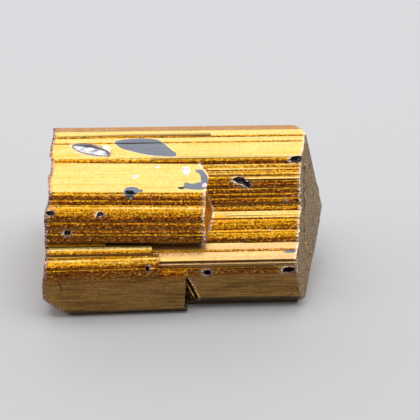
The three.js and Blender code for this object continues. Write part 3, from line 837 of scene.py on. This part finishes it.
# One finish for each kind of surface, in the order of Surface.
FINISHES = (
    GoldFilm("vapour_coated_gold_film"),
    SugaryFilm("matte_film_on_sugary_pyramid"),
    BrokenFilm("film_on_fractured_base"),
    # Bare black tourmaline: glassy, with pale mottle painted as highlights on small steps in the fracture.
    Bared("bare_black_tourmaline", metallic=0.0, roughness=0.18, shades=(
        (0.4, "131316"), (0.6, "2a2a32"), (0.7, "8c8690"), (0.76, "c8c0c0")), mottle=Grain(0.6, 0.5, 3.0)),
    # The long chip is polished grey underlayer that mirrors the lights.
    Bared("polished_grey_underlayer", metallic=0.8, roughness=0.2, depth=0.03, shades=(
        (0.36, "96969e"), (0.48, "d0d0d6"), (0.6, "f8f2ee")), mottle=Grain(2.2, 0.7, 2.0)),
    # Flat flakes show the grey underlayer with faint lines, and painted shade where the face turns down.
    Bared("flat_grey_underlayer", roughness=0.4, depth=0.01, turned_down_shade=0.45, shades=(
        (0.3, "787c86"), (0.5, "80848e"), (0.72, "8c9098")), mottle=Grain(9.0, 0.3, 3.0)),
    Bared("fresh_pale_rim", roughness=0.35, depth=0.02, shades=(
        (0.35, "ecd2a4"), (0.5, "f4e6d2"), (0.65, "fdf8f0")), mottle=Grain(0.3, 0.25, 2.0)),
    Bared("rosy_white_flake", roughness=0.3, depth=0.02, shades=(
        (0.35, "e8a890"), (0.5, "f2d8ec"), (0.65, "fff0fa")), mottle=Grain(0.5, 0.5, 2.0)),
    BrokenFilm("glittering_scar", dark="3a2c24", middle="5a4028", light="a87c40", cool="4a3c3c", lean=1.3,
               swell=0.12, patches=Grain(0.6, 0.6, 3.0), grit=Grain(0.4, 0.4, 4.0, 0.7),
               steps=Grain(0.22, 0.2)),
    # Film left standing along the scar, painted bright gold as a highlight against the dark stone.
    Bared("gold_edge_painted_highlight", roughness=0.3, depth=0.03, shades=(
        (0.4, "8a5c20"), (0.5, "e0a848"), (0.62, "ffe08c")), mottle=Grain(0.3, 0.3, 2.0)),
    # Painted shade in grooves and cracks: dull and dark, so it draws them as dark lines.
    Bared("painted_shade_in_grooves", metallic=0.3, roughness=0.7, depth=0.02, shades=(
        (0.4, "2c1c10"), (0.6, "4a3018")), mottle=Grain(0.8, 0.2, 2.0)),
)


@dataclass
class TourmalineCrystal:
    """The whole crystal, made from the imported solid; sizes in mm."""

    name: str = "aura_crystal"
    node: str = "tourmaline_crystal"
    body: str = "root"
    slot: str = "coated_tourmaline"
    # The grain worked into both ends: its cells, its depths, and how many turns it takes in a mm.
    grid_half: float = 18.0
    pyramid_cell: float = 0.55
    base_cell: float = 0.7
    etch_depth: float = 0.05
    etch_rate: float = 3.7
    edge_wander: float = 0.22
    wander_rate: float = 2.9
    wander_start: tuple = (7, 3, 1)
    splinter_depth: float = 0.28
    splinter_rate: float = 0.9
    splinter_fade: float = 0.6
    splinter_step: float = 2.2
    splinter_layers: int = 4
    # Surfaces that a flake may be cut into, how far they look out of the front, and how deep it reaches.
    painted: tuple = (Surface.PRISM, Surface.PALE, Surface.GREY, Surface.SCAR)
    front_look: float = 0.2
    flake_reach: float = 2.5
    # Where the scar lies, in x, u and v, and how far its faces look along the crystal.
    scar_low: tuple = (-1.4, 6.5, -16.8)
    scar_high: tuple = (1.5, 12.5, -10.8)
    scar_look: float = 0.02
    # Where each end begins, how far its faces look along the crystal, and how deep they lie in the pyramid.
    pyramid_start: float = 10.0
    pyramid_look: float = 0.6
    pyramid_depth: float = 0.3
    base_start: float = -18.0
    base_look: float = -0.1

    def surface_of(self, face: bmesh.types.BMFace) -> Surface:
        """Says which kind of surface a face of the solid is.

        Args:
            face: The face.

        Returns:
            The kind of surface.
        """
        corners = [AXES.measure(vert.co) for vert in face.verts]
        for chip in CHIPS:
            if all(chip.holds(corner) for corner in corners):
                return chip.surface
        low = Vector(map(min, *corners))
        high = Vector(map(max, *corners))
        in_scar = all(a <= b for a, b in zip(self.scar_low, low)) and all(
            a >= b for a, b in zip(self.scar_high, high))
        if in_scar and abs(face.normal.x) > self.scar_look:
            return Surface.SCAR
        on_pyramid = face.normal.x > self.pyramid_look or all(
            AXES.below_pyramid(spot) < self.pyramid_depth for spot in corners)
        if low.x > self.pyramid_start and on_pyramid:
            return Surface.PYRAMID
        if face.normal.x < self.base_look and high.x < self.base_start:
            return Surface.BREAK
        return Surface.PRISM

    @staticmethod
    def parts_of(faces: list) -> list:
        """Lists faces with their edges and corners, each once and in the same order in each run.

        Args:
            faces: The faces.

        Returns:
            Faces, edges and corners.
        """
        edges = dict.fromkeys(edge for face in faces for edge in face.edges)
        verts = dict.fromkeys(vert for face in faces for vert in face.verts)
        return [*faces, *edges, *verts]

    def cut_out(self, work: bmesh.types.BMesh, outline: tuple, depth: float, surface: Surface) -> None:
        """Cuts an outline into the front of the film and gives the faces inside it another surface.

        Args:
            work: The crystal's mesh.
            outline: Corners in x and v, mm.
            depth: Depth u of the outline's middle, mm.
            surface: Kind of surface inside.
        """
        low_x = min(x for x, _ in outline)
        high_x = max(x for x, _ in outline)
        low_v = min(v for _, v in outline)
        high_v = max(v for _, v in outline)
        faces = []
        for face in work.faces:
            if Surface(face.material_index) not in self.painted:
                continue
            if face.normal.dot(AXES.out) < self.front_look:
                continue
            spots = [AXES.measure(vert.co) for vert in face.verts]
            if max(s.x for s in spots) < low_x or min(s.x for s in spots) > high_x:
                continue
            if max(s.z for s in spots) < low_v or min(s.z for s in spots) > high_v:
                continue
            if abs(sum(s.y for s in spots) / len(spots) - depth) < self.flake_reach:
                faces.append(face)
        for (x0, v0), (x1, v1) in zip(outline, outline[1:] + outline[:1]):
            edge = Vector((x1 - x0, 0, 0)) + AXES.up * (v1 - v0)
            cut = bmesh.ops.bisect_plane(
                work, geom=self.parts_of(faces), dist=CUT_REACH, plane_co=AXES.place(x0, depth, v0),
                plane_no=edge.cross(AXES.out).normalized())
            faces = [part for part in cut["geom"] if isinstance(part, bmesh.types.BMFace)]
        for face in faces:
            if self.inside(AXES.measure(face.calc_center_median()), outline):
                face.material_index = surface.value

    @staticmethod
    def inside(spot: Vector, outline: tuple) -> bool:
        """Says whether a point is inside an outline.

        Args:
            spot: x, u and v of the point, mm.
            outline: Corners in x and v, mm.

        Returns:
            True inside.
        """
        odd = False
        for (x0, v0), (x1, v1) in zip(outline, outline[1:] + outline[:1]):
            if (v0 > spot.z) != (v1 > spot.z) and spot.x < x0 + (x1 - x0) * (spot.z - v0) / (v1 - v0):
                odd = not odd
        return odd

    def roughen(self, work: bmesh.types.BMesh, surface: Surface, cell: float) -> None:
        """Splits one kind of surface into small cells and works grain into it, always inwards.

        Args:
            work: The crystal's mesh.
            surface: Kind of surface.
            cell: Size of the cells, mm.
        """
        faces = [face for face in work.faces if face.material_index == surface.value]
        steps = int(self.grid_half / cell)
        for direction in (AXES.out, AXES.up):
            for step in range(-steps, steps + 1):
                cut = bmesh.ops.bisect_plane(
                    work, geom=self.parts_of(faces), dist=CUT_REACH, plane_no=direction,
                    plane_co=(AXES.origin + direction * cell * step) * MM)
                faces = [part for part in cut["geom"] if isinstance(part, bmesh.types.BMFace)]
        bmesh.ops.triangulate(work, faces=faces)
        ends = {vert for face in work.faces if face.material_index == surface.value for vert in face.verts}
        for vert in ends:
            kinds = {face.material_index for face in vert.link_faces}
            spot = AXES.measure(vert.co)
            if surface is Surface.PYRAMID:
                wander = 0.5 + noise.noise(spot * self.wander_rate + Vector(self.wander_start))
                etched = 1 + noise.noise(spot * self.etch_rate)
                depth = self.edge_wander * wander if len(kinds) > 1 else self.etch_depth * etched
                vert.co.x -= max(0.0, depth) * MM
            else:
                depth = 0.5 + 0.5 * noise.fractal(
                    spot * self.splinter_rate, self.splinter_fade, self.splinter_step, self.splinter_layers)
                vert.co.x += max(0.0, self.splinter_depth * depth) * MM

    def build(self) -> bpy.types.Object:
        """Makes the crystal.

        Returns:
            The crystal object.
        """
        work = bmesh.new()
        work.from_mesh(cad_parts[self.node].data)
        bmesh.ops.remove_doubles(work, verts=work.verts, dist=SAME_POINT)
        work.normal_update()
        for face in work.faces:
            surface = self.surface_of(face)
            face.material_index = surface.value
            face.smooth = surface is Surface.GLOSSY
        for flake in FLAKES:
            if flake.rim:
                self.cut_out(work, flake.corners(flake.rim), flake.u, Surface.PALE)
            self.cut_out(work, flake.corners(), flake.u, flake.surface)
        self.roughen(work, Surface.PYRAMID, self.pyramid_cell)
        self.roughen(work, Surface.BREAK, self.base_cell)
        mesh = bpy.data.meshes.new(self.name)
        work.to_mesh(mesh)
        work.free()
        for finish in FINISHES:
            mesh.materials.append(finish.make())
        crystal = bpy.data.objects.new(self.name, mesh)
        bpy.context.scene.collection.objects.link(crystal)
        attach(crystal, self.body)
        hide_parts(self.node)
        LOG.info("%s: %d faces", self.name, len(mesh.polygons))
        return crystal


@dataclass(frozen=True)
class Softbox:
    """A soft light panel: position and size in metres, and how bright it looks."""

    name: str
    place: tuple
    size: tuple
    radiance: float


@dataclass
class Studio:
    """Pale floor, soft panels and the camera.

    The camera's place is in mm from the middle of the crystal's axis, its turns are in degrees, its lens,
    sensor and near limit in mm; the floor's size is in metres.
    """

    softboxes: tuple = (
        Softbox("overhead", (0.0, 0.0, 0.42), (0.46, 0.46), 1.38),
        Softbox("behind", (0.0, 0.62, 0.26), (1.3, 0.5), 1.0),
        Softbox("left", (-0.62, 0.1, 0.26), (0.8, 0.5), 0.8),
        Softbox("right", (0.62, 0.1, 0.26), (0.8, 0.5), 0.8),
    )
    camera_place: tuple = (-25.71, -268.15, 155.48)
    camera_turn: float = 6.4
    camera_height: float = 30.0
    camera_roll: float = 2.2
    camera_lens: float = 154.29
    camera_sensor: float = 36.0
    camera_near: float = 10.0
    floor_size: float = 2.4
    floor_cells: int = 8
    floor_colour: str = "f4f5f7"
    floor_roughness: float = 0.7
    ambient: float = 0.14
    ambient_tint: tuple = (1.0, 1.0, 1.04)

    def floor(self) -> bpy.types.Object:
        """Adds the floor.

        Returns:
            The floor object.
        """
        mesh = bpy.data.meshes.new("floor")
        work = bmesh.new()
        bmesh.ops.create_grid(
            work, x_segments=self.floor_cells, y_segments=self.floor_cells, size=self.floor_size / 2)
        work.to_mesh(mesh)
        work.free()
        material = bpy.data.materials.new("matte_studio_paper")
        material.use_nodes = True
        shader = material.node_tree.nodes["Principled BSDF"]
        shader.inputs["Base Color"].default_value = srgb(self.floor_colour)
        shader.inputs["Roughness"].default_value = self.floor_roughness
        mesh.materials.append(material)
        floor = bpy.data.objects.new("floor", mesh)
        bpy.context.scene.collection.objects.link(floor)
        return floor

    def lights(self) -> None:
        """Adds the soft panels and the dim surroundings."""
        for box in self.softboxes:
            light = bpy.data.lights.new(box.name, "AREA")
            light.shape = "RECTANGLE"
            light.size, light.size_y = box.size
            light.energy = math.pi * box.size[0] * box.size[1] * box.radiance
            lamp = bpy.data.objects.new(box.name, light)
            lamp.location = box.place
            lamp.rotation_mode = "QUATERNION"
            lamp.rotation_quaternion = (-Vector(box.place)).to_track_quat("-Z", "Y")
            bpy.context.scene.collection.objects.link(lamp)
        world = bpy.data.worlds.new("studio")
        world.use_nodes = True
        background = world.node_tree.nodes["Background"]
        tint = (self.ambient * part for part in self.ambient_tint)
        background.inputs["Color"].default_value = (*tint, 1)
        bpy.context.scene.world = world

    def camera(self) -> None:
        """Adds the camera at the photo's view."""
        turn = math.radians(self.camera_turn)
        height = math.radians(self.camera_height)
        roll = math.radians(self.camera_roll)
        forward = Vector((
            math.sin(turn) * math.cos(height), math.cos(turn) * math.cos(height), -math.sin(height)))
        level = Vector((math.cos(turn), -math.sin(turn), 0))
        raised = level.cross(forward)
        right = level * math.cos(roll) + raised * math.sin(roll)
        top = raised * math.cos(roll) - level * math.sin(roll)
        lens = bpy.data.cameras.new("camera")
        lens.lens = self.camera_lens
        lens.sensor_width = self.camera_sensor
        lens.clip_start = self.camera_near * MM
        camera = bpy.data.objects.new("camera", lens)
        matrix = Matrix((right, top, -forward)).transposed().to_4x4()
        matrix.translation = (Vector(self.camera_place) + AXES.origin) * MM
        camera.matrix_world = matrix
        bpy.context.scene.collection.objects.link(camera)
        bpy.context.scene.camera = camera

    def build(self) -> None:
        """Builds the whole studio."""
        self.floor()
        self.lights()
        self.camera()
        bpy.context.scene.view_settings.view_transform = "Standard"
        LOG.info("studio ready")


def main() -> None:
    """Builds the crystal and the studio."""
    logging.basicConfig(level=logging.INFO)
    TourmalineCrystal().build()
    Studio().build()


if __name__ == "__main__":
    main()
